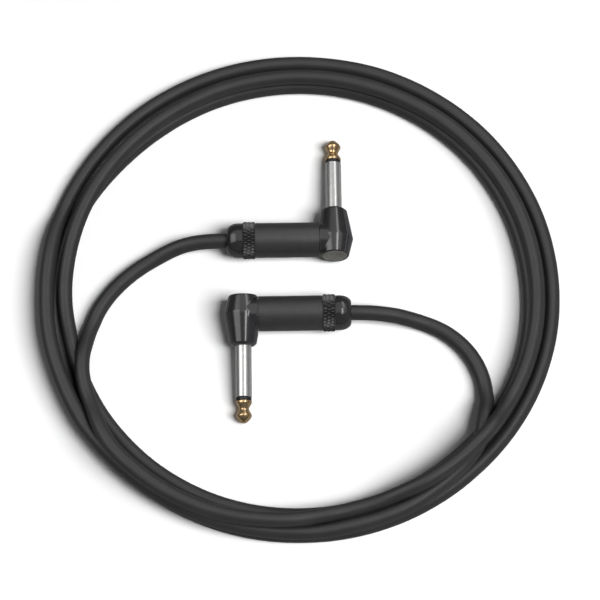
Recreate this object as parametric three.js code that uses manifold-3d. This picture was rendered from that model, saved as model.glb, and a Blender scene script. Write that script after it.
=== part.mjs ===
// Instrument cable: a loose ring of shielded cable with a right-angle 6.35 mm mono plug on each end.
// Millimetres, +Z up. The origin is on the surface that the cable lies on, midway between the plugs;
// +Y is the way that plug A points, and plug B is the same plug turned half a turn about Z.
import * as THREE from 'three';
import { mergeVertices } from 'three/addons/utils/BufferGeometryUtils.js';
import Module from 'manifold-3d';

const wasm = await Module();
wasm.setup();

// Driving dimensions. "Reach" is a distance in front of the barrel's axis along the plug's own axis,
// and "back" is a distance behind the plug's axis along the barrel.
const GAP = 0.3;                     // between pieces that touch, or that run on each other
const FINE_GAP = 0.15;               // between the small pieces that are pressed together
const SLEEVE_RADIUS = 3.175;         // the 6.35 mm standard
const SLEEVE_END = 32.8;             // reach of the sleeve's front end
const TIP_END = 43;                  // reach of the tip's point: 30.4 mm in front of the elbow
const ELBOW_RADIUS = 7.35;           // at the crease, level with the barrel's axis
const ELBOW_FRONT = 12.6;            // reach of the elbow's shoulder
const ELBOW_REAR = 7.2;              // how far the elbow goes behind the barrel's axis
const SEAM_BACK = 5.8;               // where the elbow meets the barrel
const CAVITY_RADIUS = 4.3;           // the elbow's solder chamber
const CAP_RADIUS = 4.9;
const CAP_THICKNESS = 1.1;
const BARREL_RADIUS = 6.825;
const BARREL_BACK = 31;              // where the barrel's full diameter ends
const SPIGOT_BACK = 34;              // where its threaded spigot ends
const SPIGOT_RADIUS = 5.2;
const NUT_RADIUS = 7.3;
const NUT_BACK = 35.6;               // where the knurled nut ends
const BOOT_BACK = 42.1;              // where the dome ends and the cable comes out
const BOOT_END_RADIUS = 4.4;
const CORD_RADIUS = 2.95;
const CHUCK_FRONT = 26;
const STRIP_BACK = 21;               // where the outer jacket is cut back to
const CORD_START = 36.3;             // where the jacket's free stretch takes over from its clamped end
const AXIS_HEIGHT = 7.35;            // the barrels' axes, above the surface
const TIP_BALL_RADIUS = 3.1;
const TIP_BALL_REACH = 40;
const PLUG_DROOP = Math.asin((AXIS_HEIGHT - TIP_BALL_RADIUS) / TIP_BALL_REACH);   // the tip rests too
const PLUG_PLACE = [18, 15, AXIS_HEIGHT];

const COIL_CENTRE = [3.9, -5.6, 0];
const COIL_OUTER = 102.1;
const COIL_INNER = 84.4;
const COIL_HEIGHT = 12;
const COIL_CHAMFER = 3.2;
const COIL_SQUASH = 0.977;           // the ring is a little shorter along Y than along X

const COARSE = 14;                   // sides of the small inner pieces
const MEDIUM = 20;
const ROUND = 28;                    // sides of the outer pieces
const COIL_SIDES = 60;
const CORD_SIDES = 10;

// The uncoiled stretches, from inside each boot to the ring.
const ROUTE_A = [
  [-18.3, 15, 7.35], [-26, 15, 7.35], [-34, 14.7, 6.9], [-42, 13.4, 6.2], [-50, 10.4, 5.6],
  [-58, 5.6, 5.6], [-65.4, 0, 6], [-71.8, -7.4, 6.9], [-76.6, -16, 7.9], [-79.4, -25.6, 8.7],
  [-80.5, -35.4, 9],
];
const ROUTE_B = [
  [18.3, -15, 7.35], [26, -15, 7.35], [34, -15.3, 6.8], [42, -16.2, 5.9], [50, -17.8, 4.9],
  [57.6, -20.6, 4], [64.4, -25, 3.4], [70, -31.2, 3.05], [73.9, -38.8, 2.95], [75.7, -47.2, 2.95],
  [75.4, -56, 2.95],
];

const finish = (color, roughness, metalness) => ({ color, roughness, metalness });
const GOLD = finish(0xd9a94e, 0.25, 1);
const NICKEL = finish(0xc4c4c6, 0.22, 1);
const GLOSS_BLACK = finish(0x1b1b1d, 0.28, 0.1);
const SATIN_BLACK = finish(0x222224, 0.5, 0.3);
const JACKET_BLACK = finish(0x1e1e20, 0.6, 0);
const INSULATOR_BLACK = finish(0x141415, 0.45, 0);
const LINER_GREY = finish(0x8d8d88, 0.6, 0);
const CAP_GREY = finish(0x5c5a57, 0.4, 0.6);
const TINNED = finish(0xb4b2aa, 0.35, 1);
const COPPER = finish(0xb87348, 0.35, 1);
const DIELECTRIC = finish(0xe8e4da, 0.5, 0);

function piece(name, geometry, look) {
  const mesh = new THREE.Mesh(geometry, new THREE.MeshStandardMaterial(look));
  mesh.name = name;
  return mesh;
}

// A closed surface in three.js form, as a solid that can be joined and cut.
function asSolid(geometry) {
  const bare = geometry.clone();
  bare.deleteAttribute('normal');
  bare.deleteAttribute('uv');
  const merged = mergeVertices(bare, 1e-4);
  return new wasm.Manifold(new wasm.Mesh({
    numProp: 3,
    vertProperties: new Float32Array(merged.attributes.position.array),
    triVerts: new Uint32Array(merged.index.array),
  }));
}

function asGeometry(solid) {
  const mesh = solid.getMesh();
  const geometry = new THREE.BufferGeometry();
  geometry.setAttribute('position', new THREE.BufferAttribute(new Float32Array(mesh.vertProperties), 3));
  geometry.setIndex(new THREE.BufferAttribute(new Uint32Array(mesh.triVerts), 1));
  return geometry;
}

// An outline of [radius, distance] points turned about the plug's axis (+Y).
function turned(outline, sides) {
  return new THREE.LatheGeometry(outline.map(([radius, reach]) => new THREE.Vector2(radius, reach)), sides);
}

// The same about the barrel's axis, with the distance counted back along -X.
function turnedBack(outline, sides) {
  return turned(outline, sides).rotateZ(Math.PI / 2);
}

const rod = (radius, from, to) => [[0, from], [radius, from], [radius, to], [0, to]];
const pipe = (inner, outer, from, to) => [[inner, from], [outer, from], [outer, to], [inner, to], [inner, from]];

// A round section swept along a smooth curve through the points.
function swept(points, radius, sides, steps) {
  const section = new THREE.Shape();
  for (let i = 0; i < sides; i += 1) {
    const turn = (2 * Math.PI * i) / sides;
    const corner = [radius * Math.cos(turn), radius * Math.sin(turn)];
    if (i === 0) section.moveTo(...corner);
    else section.lineTo(...corner);
  }
  section.closePath();
  const extrudePath = new THREE.CatmullRomCurve3(points.map((point) => new THREE.Vector3(...point)), false);
  return new THREE.ExtrudeGeometry(section, { steps, extrudePath, bevelEnabled: false });
}

// ---- The plug's contacts ----

// The gold tip and the rod that carries it back through the sleeve to a riveted head.
function tipContact(name) {
  const outline = [
    [0, 0.9], [1.7, 0.9], [1.7, 1.4], [1, 1.4], [1, 34.1],
    [2.9, 34.1], [3.1, 34.5], [3.1, 35.1], [2.1, 37], [1.95, 37.4], [2.1, 37.9],
    [2.75, 39.1], [TIP_BALL_RADIUS, TIP_BALL_REACH], [2.95, 40.7], [2.3, 41.6], [1.2, 42.6], [0.45, 42.95],
    [0, TIP_END],
  ];
  return piece(name, turned(outline, MEDIUM), GOLD);
}

// The insulating tube round the rod, with the ring that shows between tip and sleeve.
function tipInsulator(name) {
  const front = SLEEVE_END + FINE_GAP;
  const outline = [
    [1.2, 3.5], [1.9, 3.5], [1.9, front], [3.1, front], [3.1, 34.1 - FINE_GAP], [1.2, 34.1 - FINE_GAP], [1.2, 3.5],
  ];
  return piece(name, turned(outline, COARSE), INSULATOR_BLACK);
}

function plugSleeve(name) {
  const outline = [
    [2.1, 4.2], [3.9, 4.2], [3.9, 5.2], [SLEEVE_RADIUS, 5.2], [SLEEVE_RADIUS, SLEEVE_END - 0.2],
    [SLEEVE_RADIUS - 0.2, SLEEVE_END], [2.1, SLEEVE_END], [2.1, 4.2],
  ];
  return piece(name, turned(outline, MEDIUM), NICKEL);
}

function rearInsulator(name) {
  return piece(name, turned(pipe(1.2, 3.2, 2.3, 3.3), COARSE), INSULATOR_BLACK);
}

// A solder lug: a washer in the plug's stack with a tab towards the barrel.
function solderLug(name, hole, radius, reach, tabLength) {
  const tabHalf = 0.8;
  const tabTurn = Math.asin(tabHalf / radius);
  const outline = new THREE.Shape();
  outline.absarc(0, 0, radius, -Math.PI + tabTurn, Math.PI - tabTurn, false);
  outline.lineTo(-tabLength, tabHalf);
  outline.lineTo(-tabLength, -tabHalf);
  outline.closePath();
  const eye = new THREE.Path();
  eye.absarc(0, 0, hole, 0, 2 * Math.PI, true);
  outline.holes.push(eye);
  const plate = new THREE.ExtrudeGeometry(outline, { depth: 0.5, bevelEnabled: false, curveSegments: 8 });
  plate.rotateX(-Math.PI / 2);
  plate.translate(0, reach, 0);
  return piece(name, plate, TINNED);
}

// ---- The plug's housing ----

// Two cones that meet in a crease, joined to a round stub for the barrel, and bored from the back.
function elbowHousing(name) {
  const cones = asSolid(turned([
    [0, -ELBOW_REAR], [5.3, -ELBOW_REAR], [5.65, -ELBOW_REAR + 0.4], [ELBOW_RADIUS, 0],
    [5.2, 11.75], [4.2, ELBOW_FRONT], [0, ELBOW_FRONT],
  ], ROUND));
  const stub = asSolid(turnedBack(rod(6.85, 0, SEAM_BACK), ROUND));
  const spigot = asSolid(turnedBack(rod(5.6, 1, SEAM_BACK + 4), ROUND));
  const behindSeam = new THREE.BoxGeometry(20, 40, 40).translate(-SEAM_BACK - 10, 0, 0);
  const capSeat = asSolid(turned(rod(CAP_RADIUS + FINE_GAP, -20, -ELBOW_REAR + CAP_THICKNESS + FINE_GAP), ROUND));
  const chamber = asSolid(turned(rod(CAVITY_RADIUS, -10, 5.4), MEDIUM));
  const sleeveBore = asSolid(turned(rod(SLEEVE_RADIUS + GAP, 0, 20), MEDIUM));
  const cableWay = asSolid(turnedBack(rod(3.6, 0, 20), MEDIUM));
  const body = cones.subtract(asSolid(behindSeam)).add(stub).add(spigot);
  const bored = body.subtract(capSeat).subtract(chamber).subtract(sleeveBore).subtract(cableWay);
  return piece(name, asGeometry(bored), GLOSS_BLACK);
}

function backCap(name) {
  return piece(name, turned(rod(CAP_RADIUS, -ELBOW_REAR, -ELBOW_REAR + CAP_THICKNESS), ROUND), CAP_GREY);
}

// The barrel screws over the elbow's stub; its rear spigot carries the thread of the gland nut.
function barrel(name) {
  const outline = [
    [5.6 + GAP, SEAM_BACK + FINE_GAP], [BARREL_RADIUS, SEAM_BACK + FINE_GAP], [BARREL_RADIUS, BARREL_BACK],
    [SPIGOT_RADIUS, BARREL_BACK], [SPIGOT_RADIUS, SPIGOT_BACK], [4.2, SPIGOT_BACK], [4.2, CHUCK_FRONT - 0.5],
    [4.9, CHUCK_FRONT - 1.2], [4.9, 10.2], [5.6 + GAP, 10.2], [5.6 + GAP, SEAM_BACK + FINE_GAP],
  ];
  return piece(name, turnedBack(outline, ROUND), SATIN_BLACK);
}

function barrelLiner(name) {
  return piece(name, turnedBack(pipe(4.3, 4.7, 10.6, CHUCK_FRONT - 1.6), COARSE), LINER_GREY);
}

// The collet that grips the jacket: four fingers at its rear end.
function cableChuck(name) {
  const collet = asSolid(turnedBack(pipe(CORD_RADIUS + 0.2, 4, CHUCK_FRONT, SPIGOT_BACK + 0.1), MEDIUM));
  const slotLength = 6;
  const slotAt = -(SPIGOT_BACK + 1) + slotLength / 2;
  const slots = [new THREE.BoxGeometry(slotLength, 0.8, 12), new THREE.BoxGeometry(slotLength, 12, 0.8)];
  let cut = collet;
  for (const slot of slots) cut = cut.subtract(asSolid(slot.translate(slotAt, 0, 0)));
  return piece(name, asGeometry(cut), TINNED);
}

// The knurled gland nut, with a lip at its rear that holds the dome.
function glandNut(name) {
  const front = BARREL_BACK + FINE_GAP;
  const outline = [
    [SPIGOT_RADIUS + GAP, front], [NUT_RADIUS - 0.3, front], [NUT_RADIUS, front + 0.3],
    [NUT_RADIUS, NUT_BACK - 0.3], [NUT_RADIUS - 0.3, NUT_BACK], [4.7, NUT_BACK], [4.7, NUT_BACK - 0.6],
    [SPIGOT_RADIUS + GAP, NUT_BACK - 0.6], [SPIGOT_RADIUS + GAP, front],
  ];
  return piece(name, turnedBack(outline, ROUND), SATIN_BLACK);
}

// The strain relief: a dome that the cable comes out of, snapped into the nut by a small flange.
function strainBoot(name) {
  const front = SPIGOT_BACK + 0.3;
  const domeFront = NUT_BACK + GAP;
  const curveStart = 37.7;
  const outline = [
    [CORD_RADIUS + 0.35, front], [5, front], [5, front + 0.4], [4.4, front + 0.4],
    [4.4, domeFront], [BARREL_RADIUS, domeFront],
  ];
  const steps = 5;
  for (let i = 0; i <= steps; i += 1) {
    const turn = (Math.PI / 2) * (i / steps);
    const radius = BOOT_END_RADIUS + (BARREL_RADIUS - BOOT_END_RADIUS) * Math.cos(turn);
    outline.push([radius, curveStart + (BOOT_BACK - curveStart) * Math.sin(turn)]);
  }
  outline.push([CORD_RADIUS + 0.35, BOOT_BACK], [CORD_RADIUS + 0.35, front]);
  return piece(name, turnedBack(outline, MEDIUM), GLOSS_BLACK);
}

// ---- The cable's end inside the plug ----

function jacketEnd(name) {
  return piece(name, turnedBack(rod(CORD_RADIUS, STRIP_BACK, CORD_START - GAP), MEDIUM), JACKET_BLACK);
}

function dielectric(name) {
  return piece(name, turnedBack(rod(1.2, 9, STRIP_BACK - FINE_GAP), COARSE), DIELECTRIC);
}

function centreConductor(name) {
  const points = [[-9 + FINE_GAP, 0, 0], [-7.5, 0, 0], [-6, 0.35, 0], [-4.9, 0.85, 0], [-3.8, 1, 0]];
  return piece(name, swept(points, 0.35, 6, 8), COPPER);
}

function shieldPigtail(name) {
  const points = [
    [-STRIP_BACK + FINE_GAP, 2, 0], [-18, 2.15, 0], [-13, 2.6, 0], [-8, 2.55, 0], [-5.6, 2.5, 0], [-4.4, 2.5, 0],
  ];
  return piece(name, swept(points, 0.5, 8, 14), COPPER);
}

// A bead of solder, flattened a little against its lug.
function solderBead(name, radius, place) {
  const bead = new THREE.SphereGeometry(radius, 10, 6).scale(1, 0.8, 1).translate(...place);
  return piece(name, bead, TINNED);
}

function plug(end) {
  const group = new THREE.Group();
  group.add(
    tipContact(`tip_contact_${end}`),
    tipInsulator(`tip_insulator_${end}`),
    plugSleeve(`plug_sleeve_${end}`),
    rearInsulator(`rear_insulator_${end}`),
    solderLug(`tip_lug_${end}`, 1.2, 2.2, 1.6, 3.5),
    solderLug(`ground_lug_${end}`, 2.1, 3.4, 3.5, 4),
    elbowHousing(`elbow_housing_${end}`),
    backCap(`back_cap_${end}`),
    barrel(`barrel_${end}`),
    barrelLiner(`barrel_liner_${end}`),
    cableChuck(`cable_chuck_${end}`),
    glandNut(`gland_nut_${end}`),
    strainBoot(`strain_boot_${end}`),
    jacketEnd(`jacket_end_${end}`),
    dielectric(`dielectric_${end}`),
    centreConductor(`centre_conductor_${end}`),
    shieldPigtail(`shield_pigtail_${end}`),
    solderBead(`tip_solder_${end}`, 0.55, [-3.1, 1.05, 0]),
    solderBead(`ground_solder_${end}`, 0.5, [-3.7, 2.9, 0]),
  );
  group.rotation.x = -PLUG_DROOP;
  return group;
}

// ---- The free cable ----

// The outer shape of the ring's turns, grown by a margin when it is used to cut the leads.
function coilRing(margin) {
  const inner = COIL_INNER - margin;
  const outer = COIL_OUTER + margin;
  const bottom = -margin;
  const top = COIL_HEIGHT + margin;
  const outline = [
    [inner, bottom + COIL_CHAMFER], [inner + COIL_CHAMFER, bottom], [outer - COIL_CHAMFER, bottom],
    [outer, bottom + COIL_CHAMFER], [outer, top - COIL_CHAMFER], [outer - COIL_CHAMFER, top],
    [inner + COIL_CHAMFER, top], [inner, top - COIL_CHAMFER], [inner, bottom + COIL_CHAMFER],
  ];
  return turned(outline, COIL_SIDES).rotateX(Math.PI / 2).scale(1, COIL_SQUASH, 1).translate(...COIL_CENTRE);
}

// A lead ends at the ring's wall.
function cableLead(name, route) {
  const tube = asSolid(swept(route, CORD_RADIUS, CORD_SIDES, 18));
  const parts = tube.subtract(asSolid(coilRing(GAP))).decompose();
  parts.sort((one, other) => other.volume() - one.volume());
  return piece(name, asGeometry(parts[0]), JACKET_BLACK);
}

const group = new THREE.Group();
for (const [end, turn] of [['a', 0], ['b', Math.PI]]) {
  const place = new THREE.Vector3(...PLUG_PLACE).applyAxisAngle(new THREE.Vector3(0, 0, 1), turn);
  const seat = new THREE.Group();
  seat.add(plug(end));
  seat.position.copy(place);
  seat.rotation.z = turn;
  group.add(seat);
}
group.add(piece('cable_coil', coilRing(0), JACKET_BLACK));
group.add(cableLead('cable_lead_a', ROUTE_A));
group.add(cableLead('cable_lead_b', ROUTE_B));

export default group;
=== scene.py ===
import math

import bmesh
import bpy
import numpy as np
from mathutils import Matrix, Vector


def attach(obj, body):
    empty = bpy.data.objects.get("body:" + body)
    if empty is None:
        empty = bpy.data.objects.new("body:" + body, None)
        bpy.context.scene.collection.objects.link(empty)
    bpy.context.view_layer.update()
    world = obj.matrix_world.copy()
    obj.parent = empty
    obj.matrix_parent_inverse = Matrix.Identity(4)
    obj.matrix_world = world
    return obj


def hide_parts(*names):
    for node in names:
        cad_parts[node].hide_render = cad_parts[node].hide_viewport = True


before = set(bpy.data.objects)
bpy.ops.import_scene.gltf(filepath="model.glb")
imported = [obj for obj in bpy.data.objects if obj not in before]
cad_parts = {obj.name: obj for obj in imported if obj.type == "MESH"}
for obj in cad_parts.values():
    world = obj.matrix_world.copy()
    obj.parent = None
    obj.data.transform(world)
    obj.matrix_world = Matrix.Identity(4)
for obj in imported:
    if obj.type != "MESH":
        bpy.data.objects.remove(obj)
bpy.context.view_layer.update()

# Looks of an instrument cable with a right-angle plug on each end. Dimensions are in millimetres,
# as in part.mjs, and MM turns them into metres. In a plug's own axes +Y is the plug's axis and -X
# is the way that the barrel runs; "reach" is a distance along +Y and "back" a distance along -X.
MM = 0.001
GAP = 0.3
FINE_GAP = 0.15
AXIS_HEIGHT = 7.35
TIP_BALL_RADIUS = 3.1
TIP_BALL_REACH = 40
PLUG_DROOP = math.asin((AXIS_HEIGHT - TIP_BALL_RADIUS) / TIP_BALL_REACH)
PLUG_PLACE = Vector((18, 15, AXIS_HEIGHT))
CORD_RADIUS = 2.95
CORD_DIAMETER = 2 * CORD_RADIUS
COIL_CENTRE = np.array([3.9, -5.6])
BOOT_BACK = 42.1
THREAD_PITCH = 1.0

# ---------------------------------------------------------------- camera

VIEW_TARGET = Vector((4.235, -7.357, 0))
VIEW_DISTANCE = 1100
VIEW_WIDTH = 235.2941         # across the target, at that distance
SENSOR_WIDTH = 36
VIEW_ELEVATION = math.radians(73)
VIEW_ROLL = math.radians(0.75)


def make_camera():
    data = bpy.data.cameras.new("camera")
    data.sensor_width = SENSOR_WIDTH
    data.lens = SENSOR_WIDTH * VIEW_DISTANCE / VIEW_WIDTH
    data.clip_start = 0.05
    data.clip_end = 20
    camera = bpy.data.objects.new("camera", data)
    bpy.context.scene.collection.objects.link(camera)
    ahead = Vector((0, math.cos(VIEW_ELEVATION), -math.sin(VIEW_ELEVATION)))
    level = Vector((1, 0, 0))
    up = level.cross(ahead)
    right = math.cos(VIEW_ROLL) * level - math.sin(VIEW_ROLL) * up
    up = right.cross(ahead)
    place = (VIEW_TARGET - VIEW_DISTANCE * ahead) * MM
    turn = Matrix((right, up, -ahead)).transposed().to_4x4()
    camera.matrix_world = Matrix.Translation(place) @ turn
    bpy.context.scene.camera = camera


make_camera()

# ---------------------------------------------------------------- materials


NOISE_MIDDLE = (0.3, 0.7)      # where nearly all of a noise texture's values lie
# Pointiness range over which sharp edges turn lighter: polish plus a painted highlight.
WORN_AND_LIT_EDGE = (0.52, 0.62)       # pointiness, from flat to a sharp edge
LEAST_ROUGH = 0.03


def new_material(name):
    material = bpy.data.materials.new(name)
    material.use_nodes = True
    nodes = material.node_tree.nodes
    return material, nodes, material.node_tree.links, nodes["Principled BSDF"]


def grain(nodes, links, scale, detail=4.0, axis=None):
    """Noise over the piece's own coordinates; with an axis, bands that run square to that axis."""
    coordinates = nodes.new("ShaderNodeTexCoord").outputs["Object"]
    noise = nodes.new("ShaderNodeTexNoise")
    noise.inputs["Scale"].default_value = scale
    noise.inputs["Detail"].default_value = detail
    if axis is None:
        links.new(coordinates, noise.inputs["Vector"])
    else:
        noise.noise_dimensions = "1D"
        parts = nodes.new("ShaderNodeSeparateXYZ")
        links.new(coordinates, parts.inputs[0])
        links.new(parts.outputs[axis], noise.inputs["W"])
    return noise.outputs["Fac"]


def spread(nodes, links, source, low, high, cut=NOISE_MIDDLE):
    """The part of the source that lies within cut, stretched to run from low to high."""
    span = nodes.new("ShaderNodeMapRange")
    span.inputs["From Min"].default_value = cut[0]
    span.inputs["From Max"].default_value = cut[1]
    span.inputs["To Min"].default_value = low
    span.inputs["To Max"].default_value = high
    links.new(source, span.inputs["Value"])
    return span.outputs["Result"]


def finish(name, color, rough, metallic=0.0, vary=0.12, rough_vary=0.06, mottle=900.0,
           fine=9000.0, bump=0.15, bump_height=0.004, turned=None, wear_and_glint=None, ior=1.5):
    """A finish whose colour, roughness and height vary at the scale of the real surface.

    mottle and fine are the scales of the colour's patches and of the marks; turned is the axis
    that lathe marks run round; wear_and_glint is the colour of sharp edges, lighter from polish and
    from a painted highlight, and how much of it shows.
    """
    material, nodes, links, shader = new_material(name)
    shader.inputs["Metallic"].default_value = metallic
    shader.inputs["IOR"].default_value = ior
    # Colour: soft patches over a finer speckle.
    patches = grain(nodes, links, mottle)
    ramp = nodes.new("ShaderNodeValToRGB")
    ramp.color_ramp.elements[0].position = NOISE_MIDDLE[0]
    ramp.color_ramp.elements[1].position = NOISE_MIDDLE[1]
    ramp.color_ramp.elements[0].color = (*[c * (1 - vary) for c in color], 1)
    ramp.color_ramp.elements[1].color = (*[min(1.0, c * (1 + vary)) for c in color], 1)
    links.new(patches, ramp.inputs["Fac"])
    base = ramp.outputs["Color"]
    if wear_and_glint:
        # Sharp edges and crests are drawn lighter: partly polish from hands, partly a painted
        # highlight where they would catch the light.
        pointed = nodes.new("ShaderNodeNewGeometry").outputs["Pointiness"]
        worn_and_lit = spread(nodes, links, pointed, 0, wear_and_glint[1], cut=WORN_AND_LIT_EDGE)
        mix = nodes.new("ShaderNodeMix")
        mix.data_type = "RGBA"
        links.new(worn_and_lit, mix.inputs["Factor"])
        links.new(base, mix.inputs[6])
        mix.inputs[7].default_value = (*wear_and_glint[0], 1)
        base = mix.outputs[2]
    links.new(base, shader.inputs["Base Color"])
    # Roughness: even handling marks, or the rings that a lathe leaves.
    marks = grain(nodes, links, fine, 3.0, turned)
    smoothest = max(LEAST_ROUGH, rough - rough_vary)
    links.new(spread(nodes, links, marks, smoothest, rough + rough_vary),
              shader.inputs["Roughness"])
    # Height.
    relief = nodes.new("ShaderNodeBump")
    relief.inputs["Strength"].default_value = bump
    relief.inputs["Distance"].default_value = bump_height * MM
    links.new(marks, relief.inputs["Height"])
    links.new(relief.outputs["Normal"], shader.inputs["Normal"])
    return material


MATERIALS = {
    "gold_plate": finish("gold_plate", (0.82, 0.58, 0.32), 0.21, 0.95, vary=0.06, turned=1,
                         fine=7000.0, rough_vary=0.03, bump=0.03, mottle=700.0),
    "nickel_plate": finish("nickel_plate", (0.72, 0.715, 0.71), 0.24, 0.88, vary=0.03, turned=1,
                           fine=6000.0, rough_vary=0.02, bump=0.008, mottle=400.0),
    "elbow_black": finish("elbow_black", (0.016, 0.016, 0.0175), 0.17, 0.0, fine=5000.0, bump=0.08,
                          mottle=500.0, wear_and_glint=((0.07, 0.07, 0.075), 0.5), ior=1.9),
    "barrel_black": finish("barrel_black", (0.025, 0.025, 0.026), 0.43, 0.0, fine=7000.0, bump=0.1,
                           mottle=400.0, wear_and_glint=((0.07, 0.07, 0.075), 0.4), ior=1.7),
    # The knurl's crests get a strong painted highlight, far lighter than the dark grooves, with a
    # little real polish.
    "nut_black": finish("nut_black", (0.011, 0.011, 0.012), 0.2, 0.0, fine=7000.0, bump=0.1,
                        mottle=600.0, wear_and_glint=((0.2, 0.2, 0.205), 0.9), ior=1.8),
    "cap_grey": finish("cap_grey", (0.2, 0.195, 0.18), 0.42, 0.4, fine=6000.0, bump=0.12, vary=0.2,
                       wear_and_glint=((0.3, 0.29, 0.27), 0.5)),
    "boot_black": finish("boot_black", (0.018, 0.018, 0.019), 0.15, 0.0, fine=4000.0, bump=0.06,
                         mottle=500.0, rough_vary=0.05, ior=1.75),
    "insulator_black": finish("insulator_black", (0.012, 0.012, 0.012), 0.35, fine=6000.0),
    "liner_grey": finish("liner_grey", (0.27, 0.27, 0.25), 0.6, fine=3000.0, bump=0.3, vary=0.08),
    "dielectric_white": finish("dielectric_white", (0.78, 0.75, 0.68), 0.5, fine=2500.0, bump=0.2,
                               vary=0.04),
    "tinned_metal": finish("tinned_metal", (0.62, 0.60, 0.56), 0.36, 1.0, fine=2500.0, bump=0.35,
                           bump_height=0.02, vary=0.1, rough_vary=0.12),
    "copper": finish("copper", (0.72, 0.36, 0.19), 0.34, 1.0, fine=3500.0, bump=0.35,
                     bump_height=0.02, vary=0.14, rough_vary=0.1),
    "jacket_black": finish("jacket_black", (0.021, 0.021, 0.0215), 0.46, 0.0, vary=0.1, fine=2600.0,
                           bump=0.12, bump_height=0.01, mottle=120.0, rough_vary=0.05, ior=1.6),
}

# ---------------------------------------------------------------- mesh building


SAME_POINT = 1e-4
SHARP_ANGLE = math.radians(32)


def add_object(name, mesh):
    piece = bpy.data.objects.new(name, mesh)
    bpy.context.scene.collection.objects.link(piece)
    return piece


def clean_normals(mesh):
    shape = bmesh.new()
    shape.from_mesh(mesh)
    bmesh.ops.remove_doubles(shape, verts=shape.verts, dist=SAME_POINT * MM)
    bmesh.ops.recalc_face_normals(shape, faces=shape.faces)
    shape.to_mesh(mesh)
    shape.free()
    mesh.shade_smooth()
    mesh.set_sharp_from_angle(angle=SHARP_ANGLE)


def loop_mesh(name, rows, closed):
    """A surface through rows of points, each row a ring round an axis.

    Closed joins the last row to the first.
    """
    rows = np.array(rows, float)
    count, sides, _ = rows.shape
    last = count if closed else count - 1
    faces = []
    for i in range(last):
        a, b = i * sides, ((i + 1) % count) * sides
        for j in range(sides):
            k = (j + 1) % sides
            faces.append((a + j, a + k, b + k, b + j))
    mesh = bpy.data.meshes.new(name)
    mesh.from_pydata((rows.reshape(-1, 3) * MM).tolist(), [], faces)
    return mesh


def rounded(outline, steps=4):
    """An outline of (radius, distance) points; a third number rounds its corner by that much."""
    result = []
    for i, point in enumerate(outline):
        here = np.array(point[:2], float)
        if len(point) < 3:
            result.append(here)
            continue
        ends = []
        for other in (outline[i - 1], outline[(i + 1) % len(outline)]):
            way = np.array(other[:2], float) - here
            ends.append(here + way / np.linalg.norm(way) * point[2])
        for t in np.linspace(0, 1, steps + 1):
            result.append((1 - t) ** 2 * ends[0] + 2 * t * (1 - t) * here + t * t * ends[1])
    return result


def dense(outline, step):
    """The same outline with no stretch longer than step."""
    result = []
    for here, there in zip(outline, outline[1:]):
        here, there = np.array(here[:2], float), np.array(there[:2], float)
        parts = max(1, math.ceil(np.linalg.norm(there - here) / step))
        for i in range(parts):
            result.append(here + (there - here) * i / parts)
    result.append(np.array(outline[-1][:2], float))
    return result


def turned(name, outline, sides=128, back=False, relief=None, closed=False):
    """An outline turned about the plug's axis, or about the barrel's with back=True."""
    turn = np.linspace(0, 2 * math.pi, sides, endpoint=False)
    rows = []
    for radius, distance in outline:
        r = np.full(sides, float(radius))
        if relief:
            r = relief(r, distance, turn)
        along = np.full(sides, float(distance))
        if back:
            rows.append(np.c_[-along, r * np.cos(turn), -r * np.sin(turn)])
        else:
            rows.append(np.c_[r * np.sin(turn), along, r * np.cos(turn)])
    mesh = loop_mesh(name, rows, closed)
    clean_normals(mesh)
    return mesh


def boolean(mesh, other, operation):
    """mesh joined with or cut by other, as a new mesh."""
    piece = bpy.data.objects.new("work", mesh)
    tool = bpy.data.objects.new("tool", other)
    for each in (piece, tool):
        bpy.context.scene.collection.objects.link(each)
    modifier = piece.modifiers.new("boolean", "BOOLEAN")
    modifier.operation = operation
    modifier.object = tool
    modifier.solver = "EXACT"
    bpy.context.view_layer.update()
    graph = bpy.context.evaluated_depsgraph_get()
    result = bpy.data.meshes.new_from_object(piece.evaluated_get(graph))
    for each in (piece, tool):
        bpy.data.objects.remove(each)
    return result


# ---------------------------------------------------------------- the cable

# The leads, from inside each plug's dome to where they join the ring.
LEAD_A = [
    (-18.3, 15, 7.35), (-24.1, 15, 7.35), (-30, 14.95, 7.2), (-38, 14.3, 6.4), (-46, 12.2, 5.1),
    (-54, 8.3, 3.8), (-61.5, 3.2, 3.1), (-68.5, -3.4, 3.0), (-74.2, -11.4, 3.1), (-78, -20.5, 4.4),
]
LEAD_B = [
    (18.3, -15, 7.35), (24.1, -15, 7.35), (30, -15.05, 7.1), (38, -15.6, 6.3), (46, -16.8, 4.9),
    (54, -19.1, 3.6), (61, -22.6, 3.0), (67.2, -27.8, 3.0), (72, -34.4, 3.0), (74.9, -42, 3.3),
    (75.9, -50, 5.2),
]
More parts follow.
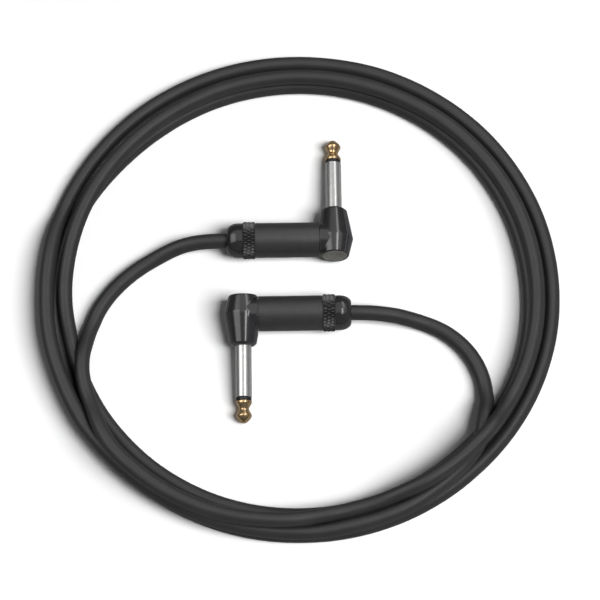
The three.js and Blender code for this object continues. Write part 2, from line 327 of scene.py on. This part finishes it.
# The ring, as turn angle, radius and height: three turns and a little more, the first on top.
RING = [
    (196, 87.4, 7.7), (200, 89.7, 8.7), (205, 91.5, 8.9), (210, 92.8, 10.4), (215, 94.6, 13),
    (220, 95.9, 14.2), (230, 96.2, 14.4), (240, 95.9, 14.5), (250, 95.2, 14.4), (260, 93.8, 14),
    (270, 92.3, 12.8), (280, 90.2, 8.9), (290, 90.2, 9.5), (300, 91.4, 12.8), (310, 92.1, 13.2),
    (320, 92.7, 14.2), (330, 92.6, 9), (340, 92.9, 8.6), (350, 92.9, 8.5), (360, 92.7, 8.4),
    (370, 92.4, 8.3), (380, 92.1, 8.2), (390, 91.6, 8.3), (400, 90.8, 8.5), (410, 90.1, 8.6),
    (420, 89.3, 8.6), (430, 88.8, 8.7), (440, 88.6, 8.7), (450, 88.5, 8.7), (460, 88.5, 8.7),
    (470, 88.8, 8.7), (480, 89, 8.6), (490, 89.5, 8.7), (500, 90, 8.7), (510, 90.6, 8.6),
    (520, 91.1, 8.2), (530, 91.3, 7.7), (540, 91.4, 7.1), (550, 91.1, 5.5), (560, 90.9, 3),
    (570, 90.8, 3), (580, 90.4, 3), (590, 90.1, 3), (600, 89.7, 3), (610, 89.4, 3), (620, 89.1, 3),
    (630, 88.9, 3), (640, 88.9, 3), (650, 89, 3), (660, 89.3, 3), (670, 89.7, 3), (680, 90.2, 3),
    (690, 90.9, 3), (700, 91.1, 3), (710, 90.9, 3), (720, 90.4, 3), (730, 90, 3), (740, 89.7, 3),
    (750, 89.3, 3), (760, 88.8, 3), (770, 88.2, 3), (780, 87.6, 3), (790, 87.2, 3), (800, 86.9, 3),
    (810, 86.7, 3), (820, 86.7, 3), (830, 87, 3), (840, 87.4, 3), (850, 88.1, 3), (860, 89.3, 3),
    (870, 91.1, 3), (880, 93.1, 3), (890, 94.6, 3), (900, 95.5, 3), (910, 96.3, 3), (920, 96.7, 3),
    (930, 96.7, 3), (940, 96.9, 3), (950, 96.9, 3), (960, 96.8, 3), (970, 96.7, 3), (980, 96.6, 3),
    (990, 96.5, 3), (1000, 96.7, 3), (1010, 96.9, 3), (1020, 97.1, 3), (1030, 97.3, 3),
    (1040, 97.8, 3), (1050, 98.3, 3), (1060, 98.7, 3), (1070, 99, 3), (1080, 99, 3),
    (1090, 98.9, 3), (1100, 98.7, 3), (1110, 98.3, 3), (1120, 98, 3), (1130, 97.5, 3),
    (1140, 97.1, 3), (1150, 96.8, 3), (1160, 96.4, 3), (1170, 96.3, 3), (1180, 96.5, 3),
    (1190, 96.8, 3), (1200, 97.2, 3), (1210, 97.7, 3), (1220, 98.1, 3), (1230, 98.5, 3),
    (1240, 98.9, 3.5), (1250, 98.6, 7.1), (1260, 98.4, 8), (1270, 98.6, 8.3), (1280, 98.4, 8.4),
    (1290, 98.4, 8.5), (1300, 98, 8.6), (1310, 97.7, 8.7), (1320, 97.4, 8.8), (1330, 97.1, 8.8),
    (1340, 96.6, 8.8), (1350, 96.5, 8.8), (1360, 96.2, 8.8), (1370, 96.1, 8.7), (1380, 95.4, 8.5),
    (1390, 94.3, 7.8), (1395, 93.3, 7.8), (1399, 91.6, 8.6), (1402, 89.3, 8.6), (1404.8, 86.9, 7.3),
]
CORD_STEP = 3.0
RING_STEP = 2.0          # degrees: 180 points in each turn
CORD_CLEARANCE = 0.05    # kept between strands that touch
FLOOR_CLEARANCE = 0.02


def through(keys, values, wanted):
    """A smooth curve through values at keys, read at wanted."""
    keys, values = np.array(keys, float), np.array(values, float)
    gaps = np.diff(keys)
    slopes = np.diff(values) / gaps
    tangent = np.empty(len(keys))
    tangent[0], tangent[-1] = slopes[0], slopes[-1]
    tangent[1:-1] = (slopes[:-1] * gaps[1:] + slopes[1:] * gaps[:-1]) / (gaps[:-1] + gaps[1:])
    i = np.clip(np.searchsorted(keys, wanted) - 1, 0, len(keys) - 2)
    t = (wanted - keys[i]) / gaps[i]
    return ((2 * t**3 - 3 * t**2 + 1) * values[i] + (t**3 - 2 * t**2 + t) * gaps[i] * tangent[i]
            + (3 * t**2 - 2 * t**3) * values[i + 1] + (t**3 - t**2) * gaps[i] * tangent[i + 1])


def smooth_line(points, each=20):
    points = np.array(points, float)
    along = np.r_[0, np.cumsum(np.linalg.norm(np.diff(points, axis=0), axis=1))]
    wanted = np.linspace(0, along[-1], each * len(points))
    return np.c_[[through(along, points[:, k], wanted) for k in range(3)]].T


def even(points, step):
    along = np.r_[0, np.cumsum(np.linalg.norm(np.diff(points, axis=0), axis=1))]
    wanted = np.linspace(0, along[-1], int(round(along[-1] / step)) + 1)
    return np.c_[[np.interp(wanted, along, points[:, k]) for k in range(3)]].T


def laid_route():
    keys = np.array(RING)
    angles = np.arange(keys[0, 0], keys[-1, 0], RING_STEP)
    radius = through(keys[:, 0], keys[:, 1], angles)
    height = through(keys[:, 0], keys[:, 2], angles)
    turn = np.radians(angles)
    across = COIL_CENTRE[0] + radius * np.cos(turn)
    away = COIL_CENTRE[1] + radius * np.sin(turn)
    ring = np.c_[across, away, height]
    return even(np.r_[smooth_line(LEAD_A), ring, smooth_line(LEAD_B)[::-1]], CORD_STEP)


def settled(route, rounds=300, held=9, pull=0.3, fall=0.02, bend=0.3, pushes=4, look_again=5,
            reach=3):
    """The route after the cable has sunk on to the surface and on to itself, a diameter apart.

    Each round lets the points fall, pulls them back over the route, smooths the bends and then
    pushes strands apart. Points held at the ends stay put. Every look_again rounds the strands
    within reach of one another are found again.
    """
    points = route.copy()
    count = len(points)
    step = np.linalg.norm(np.diff(points, axis=0), axis=1).mean()
    clear = CORD_DIAMETER + CORD_CLEARANCE
    neighbours = math.ceil(2.2 * clear / step)       # too near along the cord to count as touching
    first, second = np.triu_indices(count, neighbours)
    laid = np.zeros_like(points)
    laid[1:-1, :2] = ((route[:-2] + route[2:]) / 2 - route[1:-1])[:, :2]
    for turn in range(rounds):
        points[:, 2] -= fall
        points[:, :2] += pull * (route[:, :2] - points[:, :2])
        for _ in range(2):
            sag = -laid
            sag[1:-1] += (points[:-2] + points[2:]) / 2 - points[1:-1]
            points[2:-2] += bend * (sag[2:-2] - (sag[1:-3] + sag[3:-1]) / 2)
        if turn % look_again == 0:
            near = np.abs(points[first] - points[second]).max(1) < clear + reach
            one, other = first[near], second[near]
        for _ in range(pushes):
            apart = points[one] - points[other]
            distance = np.linalg.norm(apart, axis=1)
            hit = distance < clear
            push = apart[hit] / distance[hit][:, None] * ((clear - distance[hit]) / 4)[:, None]
            np.add.at(points, one[hit], push)
            np.add.at(points, other[hit], -push)
        points[:, 2] = np.maximum(points[:, 2], CORD_RADIUS + FLOOR_CLEARANCE)
        points[:held] = route[:held]
        points[-held:] = route[-held:]
    return points


def make_cable():
    points = settled(laid_route())
    points = smooth_line(points, each=2)
    data = bpy.data.curves.new("cable", "CURVE")
    data.dimensions = "3D"
    data.bevel_depth = CORD_RADIUS * MM
    data.bevel_resolution = 7
    data.use_fill_caps = True
    spline = data.splines.new("POLY")
    spline.points.add(len(points) - 1)
    spline.points.foreach_set("co", np.c_[points * MM, np.ones(len(points))].ravel())
    cable = add_object("cable_jacket", data)
    data.materials.append(MATERIALS["jacket_black"])
    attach(cable, "cable")
    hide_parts("cable_coil", "cable_lead_a", "cable_lead_b")


make_cable()

# ---------------------------------------------------------------- the plugs

ROD_RADIUS = 1
SLEEVE_RADIUS = 3.175
SLEEVE_BORE = 2.1
SLEEVE_SEAT = 5.2
SLEEVE_END = 32.8
TIP_START = 34.1
TIP_END = 43
ELBOW_RADIUS = 7.35
ELBOW_FRONT = 12.6
ELBOW_REAR = 7.2
SEAM_BACK = 5.8
FRONT_CONE_RADIUS = 5.2
FRONT_CONE_REACH = 11.75
REAR_CONE_RADIUS = 5.65
REAR_CONE_REACH = 6.8
STUB_RADIUS = 6.85
CREASE = 0.12
STUB_CREASE = 0.16
SEAM_CREASE = 0.1
FAR = 1e3
CAVITY_RADIUS = 4.3
CAP_RADIUS = 4.9
CAP_THICKNESS = 1.1
BARREL_RADIUS = 6.825
BARREL_BACK = 31
SPIGOT_BACK = 34
SPIGOT_RADIUS = 5.2
NUT_RADIUS = 7.3
NUT_BACK = 35.6
BOOT_END_RADIUS = 3.9
CHUCK_FRONT = 26
SAME_RADIUS = 0.02
THREAD_DEPTH = 0.25
KNURL_TEETH = 30
KNURL_STEEPNESS = 1.35
KNURL_LENGTH = 3.0
KNURL_DEPTH = 0.6


def soft_min(values, blend):
    """The least of several fields, with the creases between them rounded over a length of blend."""
    result = values[0]
    for value in values[1:]:
        near = np.maximum(blend - np.abs(result - value), 0) / blend
        result = np.minimum(result, value) - near * near * blend / 4
    return result


def soft_max(values, blend):
    return -soft_min([-value for value in values], blend)


def elbow_radius(turn, reach):
    """How far the elbow's skin is from the plug's axis; turn is measured from the barrel's side."""
    cones = soft_min([
        ELBOW_RADIUS - reach * (ELBOW_RADIUS - FRONT_CONE_RADIUS) / FRONT_CONE_REACH,
        ELBOW_RADIUS + reach * (ELBOW_RADIUS - REAR_CONE_RADIUS) / REAR_CONE_REACH,
        FRONT_CONE_RADIUS - (reach - FRONT_CONE_REACH) / 0.85,
        REAR_CONE_RADIUS + (reach + REAR_CONE_REACH) * 0.9,
    ], CREASE)
    inside = math.sqrt(max(STUB_RADIUS**2 - reach**2, 0))
    least = 1 / FAR
    towards = np.cos(turn) > least
    stub = np.where(towards, inside / np.maximum(np.abs(np.sin(turn)), least), 0)
    seam = np.where(towards, SEAM_BACK / np.maximum(np.cos(turn), least), FAR)
    joined = soft_max([np.full_like(turn, cones), np.minimum(stub, FAR / 10)], STUB_CREASE)
    return soft_min([joined, seam], SEAM_CREASE)


def elbow_mesh(name):
    sides = 260
    turn = np.linspace(0, 2 * math.pi, sides, endpoint=False)

    def ring(radius, reach):
        return np.c_[-radius * np.cos(turn), np.full(sides, float(reach)), radius * np.sin(turn)]

    skin = np.linspace(-ELBOW_REAR, ELBOW_FRONT, 121)
    rows = [ring(elbow_radius(turn, reach), reach) for reach in skin]
    cavity_front = SLEEVE_SEAT + 0.2
    seat = -ELBOW_REAR + CAP_THICKNESS + FINE_GAP
    sleeve_bore = SLEEVE_RADIUS + GAP
    cap_bore = CAP_RADIUS + FINE_GAP
    bore = [(3.7, ELBOW_FRONT), (sleeve_bore, ELBOW_FRONT - 0.2), (sleeve_bore, cavity_front),
            (CAVITY_RADIUS, cavity_front), (CAVITY_RADIUS, seat), (cap_bore, seat),
            (cap_bore, -ELBOW_REAR + 0.08)]
    rows += [ring(radius, reach) for radius, reach in bore]
    mesh = loop_mesh(name, rows, True)
    clean_normals(mesh)
    # The spigot that the barrel fits over, and the hole for the wires through it.
    end = SEAM_BACK + 4
    stub = turned("stub", [(0, 4.8), (5.6, 4.8), (5.6, end), (0, end)], 96, back=True)
    hole = turned("hole", [(0, 2), (3.6, 2), (3.6, 20), (0, 20)], 96, back=True)
    mesh = boolean(boolean(mesh, stub, "UNION"), hole, "DIFFERENCE")
    clean_normals(mesh)
    return mesh


def tip_mesh(name):
    # From the collar through the waist and over the ball.
    shape = [(3.1, 35.1), (2.55, 36.05), (2.1, 36.9), (1.95, 37.4), (2.1, 37.9), (2.7, 38.95),
             (3.02, 39.6), (TIP_BALL_RADIUS, TIP_BALL_REACH), (2.98, 40.45), (2.3, 41.5),
             (1.2, 42.6)]
    radii, keys = zip(*shape)
    reaches = np.linspace(keys[0], keys[-1], 60)
    curve = list(zip(through(keys, radii, reaches), reaches))
    outline = [(0, 0.9), (1.7, 0.9), (1.7, 1.4), (ROD_RADIUS, 1.4), (ROD_RADIUS, TIP_START),
               (2.85, TIP_START), (3.0, TIP_START + 0.06), (3.1, TIP_START + 0.25)]
    outline += curve + [(0.9, TIP_END - 0.22), (0.45, TIP_END - 0.05), (0, TIP_END)]
    return turned(name, outline, 96)


def insulator_mesh(name):
    ring_rear = SLEEVE_END + FINE_GAP
    ring_front = TIP_START - FINE_GAP
    bore, tube, ring = ROD_RADIUS + 0.2, SLEEVE_BORE - 0.2, 3.05
    outline = [(bore, 3.5), (tube, 3.5), (tube, ring_rear), (ring, ring_rear, 0.1),
               (ring, ring_front, 0.1), (bore, ring_front)]
    return turned(name, rounded(outline), 96, closed=True)


def sleeve_mesh(name):
    flange_radius, flange_rear = 3.9, SLEEVE_SEAT - 1
    outline = [(SLEEVE_BORE, flange_rear), (flange_radius, flange_rear),
               (flange_radius, SLEEVE_SEAT), (SLEEVE_RADIUS, SLEEVE_SEAT),
               (SLEEVE_RADIUS, SLEEVE_END, 0.3), (SLEEVE_BORE, SLEEVE_END)]
    return turned(name, rounded(outline, 6), 128, closed=True)


def cap_mesh(name):
    front = -ELBOW_REAR + CAP_THICKNESS
    sunk = -ELBOW_REAR + 0.05
    outline = [(0, sunk), (4.2, sunk), (4.35, -ELBOW_REAR, 0.1), (CAP_RADIUS, -ELBOW_REAR, 0.2),
               (CAP_RADIUS, front), (0, front)]
    return turned(name, rounded(outline), 128)


def thread(radius, back, turn):
    """A right-handed screw thread on the barrel's rear spigot."""
    if abs(radius[0] - SPIGOT_RADIUS) > SAME_RADIUS or back < BARREL_BACK + 0.05:
        return radius
    wave = np.abs(((back / THREAD_PITCH - turn / (2 * math.pi)) % 1) * 2 - 1)
    run_out = min(1, (SPIGOT_BACK - back) / 0.4)
    return radius - 0.1 + THREAD_DEPTH * np.clip(wave * 1.5 - 0.25, 0, 1) * run_out


def barrel_mesh(name):
    front = SEAM_BACK + FINE_GAP
    seat, throat, bore, step_back = 5.9, 4.2, 4.9, 10.2
    spigot = dense([(SPIGOT_RADIUS, BARREL_BACK), (SPIGOT_RADIUS, SPIGOT_BACK)], 0.06)
    outline = rounded([(seat, front), (BARREL_RADIUS, front, 0.2),
                       (BARREL_RADIUS, BARREL_BACK, 0.1)])
    outline += spigot
    outline += [(throat, SPIGOT_BACK), (throat, CHUCK_FRONT - 0.5), (bore, CHUCK_FRONT - 1.2),
                (bore, step_back), (seat, step_back)]
    return turned(name, outline, 144, back=True, relief=thread, closed=True)


def knurl(radius, back, turn):
    """Diamond knurling: two sets of crossing grooves round the nut's rim."""
    if radius[0] < NUT_RADIUS - SAME_RADIUS:
        return radius
    middle = (BARREL_BACK + FINE_GAP + NUT_BACK) / 2
    along = (back - middle) / KNURL_LENGTH
    around = turn * KNURL_TEETH / (2 * math.pi)
    crossing = [np.abs(((around + sign * along) % 1) * 2 - 1) for sign in (1, -1)]
    height = np.minimum(*[np.clip(KNURL_STEEPNESS * (1 - each), 0, 1) for each in crossing])
    return radius - KNURL_DEPTH * (1 - height)


def nut_mesh(name):
    front, back = BARREL_BACK + 0.05, NUT_BACK + 0.22
    bore, face, edge, lip = SPIGOT_RADIUS + GAP, 6.95, NUT_RADIUS - 0.1, 4.7
    rim = dense([(NUT_RADIUS, front + 0.18), (NUT_RADIUS, back - 0.18)], 0.075)
    outline = [(bore, front), (face, front), (edge, front + 0.08)]
    outline += rim
    outline += [(edge, back - 0.08), (face, back), (lip, back), (lip, NUT_BACK - 0.6),
                (bore, NUT_BACK - 0.6)]
    return turned(name, outline, KNURL_TEETH * 16, back=True, relief=knurl, closed=True)


def dome_mesh(name):
    front = SPIGOT_BACK + 0.3
    dome_front = NUT_BACK + GAP
    curve_start = 37.5
    mouth, neck, flange = CORD_RADIUS + 0.35, 4.4, 5
    outline = [(mouth, front), (flange, front), (flange, front + 0.4), (neck, front + 0.4),
               (neck, dome_front)]
    outline += rounded([(neck, dome_front), (BARREL_RADIUS, dome_front, 0.1),
                        (BARREL_RADIUS, curve_start)])[1:]
    for turn in np.linspace(0, math.pi / 2, 28)[1:]:
        radius = BOOT_END_RADIUS + (BARREL_RADIUS - BOOT_END_RADIUS) * math.cos(turn)
        outline.append((radius, curve_start + (BOOT_BACK - curve_start) * math.sin(turn)))
    outline += rounded([(BOOT_END_RADIUS, BOOT_BACK), (mouth, BOOT_BACK, 0.2), (mouth, 41)])[1:]
    return turned(name, outline, 128, back=True, closed=True)


PLUG_PIECES = [
    # piece, its mesh, the CAD node that it stands for, body, finish
    ("plug_tip", tip_mesh, "tip_contact", "cable", "gold_plate"),
    ("tip_ring", insulator_mesh, "tip_insulator", "cable", "insulator_black"),
    ("sleeve_tube", sleeve_mesh, "plug_sleeve", "cable", "nickel_plate"),
    ("elbow_shell", elbow_mesh, "elbow_housing", "cable", "elbow_black"),
    ("cap_disc", cap_mesh, "back_cap", "cable", "cap_grey"),
    ("barrel_shell", barrel_mesh, "barrel", "cable", "barrel_black"),
    ("knurled_nut", nut_mesh, "gland_nut", "nut", "nut_black"),
    ("boot_dome", dome_mesh, "strain_boot", "boot", "boot_black"),
]


def make_plugs():
    for name, build, node, body, slot in PLUG_PIECES:
        mesh = build(name)
        mesh.materials.clear()
        mesh.materials.append(MATERIALS[slot])
        for end, turn in (("a", 0), ("b", math.pi)):
            spin = Matrix.Rotation(turn, 4, "Z")
            seat = Matrix.Translation((spin @ PLUG_PLACE) * MM)
            piece = add_object(f"{name}_{end}", mesh)
            piece.matrix_world = seat @ spin @ Matrix.Rotation(-PLUG_DROOP, 4, "X")
            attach(piece, body if body == "cable" else f"{body}_{end}")
            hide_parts(f"{node}_{end}")


make_plugs()


INNER_FINISHES = {
    "rear_insulator": "insulator_black", "barrel_liner": "liner_grey", "jacket_end": "jacket_black",
    "dielectric": "dielectric_white", "centre_conductor": "copper", "shield_pigtail": "copper",
}


def dress_cad_nodes():
    """The pieces inside the plugs keep their CAD shape; those not listed are tinned metal."""
    for name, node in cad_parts.items():
        piece = name.rsplit("_", 1)[0]
        node.data.materials.clear()
        node.data.materials.append(MATERIALS[INNER_FINISHES.get(piece, "tinned_metal")])


dress_cad_nodes()

# ---------------------------------------------------------------- floor and light


FLOOR_HALF = 3.0
FLOOR_ROWS = 24
SKY_GLOW = 0.1
FLOOR_GLOW = 0.24
HORIZON = (-0.15, 0.05)

LIGHTS = [
    # name, place, target, size, watts, whether it shows in reflections and lights surfaces
    ("key", (2.6, -1.1, 4.12), (0, 0, 0), (3.25, 2.0), 345, False, True),
    ("panel", (0, 0.9, 1.5), (0, 0.9, 0), (3.6, 2.6), 13.5, True, False),
    ("panel_left", (-0.96, 0.15, 1.15), (0, 0.15, 0), (1.1, 1.5), 6.2, True, False),
    ("strip_right", (0.51, -0.12, 1.41), (0, -0.12, 0), (0.26, 0.95), 3.2, True, False),
    ("strip_back", (0.62, 1.1, 1.1), (0, 0.3, 0), (0.3, 1.3), 2.0, True, False),
]


def make_floor():
    shape = bmesh.new()
    bmesh.ops.create_grid(shape, x_segments=FLOOR_ROWS, y_segments=FLOOR_ROWS, size=FLOOR_HALF)
    mesh = bpy.data.meshes.new("floor")
    shape.to_mesh(mesh)
    shape.free()
    material, nodes, links, shader = new_material("floor_paper")
    shader.inputs["Roughness"].default_value = 0.9
    shader.inputs["Specular IOR Level"].default_value = 0.1
    speck = grain(nodes, links, 60.0, 2.0)
    ramp = nodes.new("ShaderNodeValToRGB")
    ramp.color_ramp.elements[0].color = (0.9, 0.9, 0.9, 1)
    ramp.color_ramp.elements[1].color = (0.92, 0.92, 0.92, 1)
    links.new(speck, ramp.inputs["Fac"])
    links.new(ramp.outputs["Color"], shader.inputs["Base Color"])
    mesh.materials.append(material)
    floor = add_object("floor", mesh)
    floor.location.z = -0.1 * MM
    floor.visible_glossy = False


def area_light(name, place, target, size, watts, glossy, diffuse):
    data = bpy.data.lights.new(name, "AREA")
    data.shape = "RECTANGLE"
    data.size, data.size_y = size
    data.energy = watts
    lamp = bpy.data.objects.new(name, data)
    bpy.context.scene.collection.objects.link(lamp)
    ahead = (Vector(target) - Vector(place)).normalized()
    side = Vector((0, 1, 0)).cross(-ahead).normalized()
    up = (-ahead).cross(side)
    turn = Matrix((side, up, -ahead)).transposed().to_4x4()
    lamp.matrix_world = Matrix.Translation(place) @ turn
    lamp.visible_glossy = glossy
    lamp.visible_diffuse = diffuse


def make_light():
    world = bpy.data.worlds.new("studio")
    world.use_nodes = True
    nodes, links = world.node_tree.nodes, world.node_tree.links
    background = nodes["Background"]
    background.inputs["Color"].default_value = (1, 1, 1, 1)
    # Seen from the plugs, what lies below the horizon is the pale floor.
    coordinates = nodes.new("ShaderNodeTexCoord").outputs["Generated"]
    parts = nodes.new("ShaderNodeSeparateXYZ")
    links.new(coordinates, parts.inputs[0])
    links.new(spread(nodes, links, parts.outputs["Z"], FLOOR_GLOW, SKY_GLOW, cut=HORIZON),
              background.inputs["Strength"])
    bpy.context.scene.world = world
    # The key is a softbox on the right. The panels and strips only show as reflections.
    for light in LIGHTS:
        area_light(*light)
    scene = bpy.context.scene
    scene.view_settings.view_transform = "Standard"
    scene.view_settings.look = "None"


make_floor()
make_light()
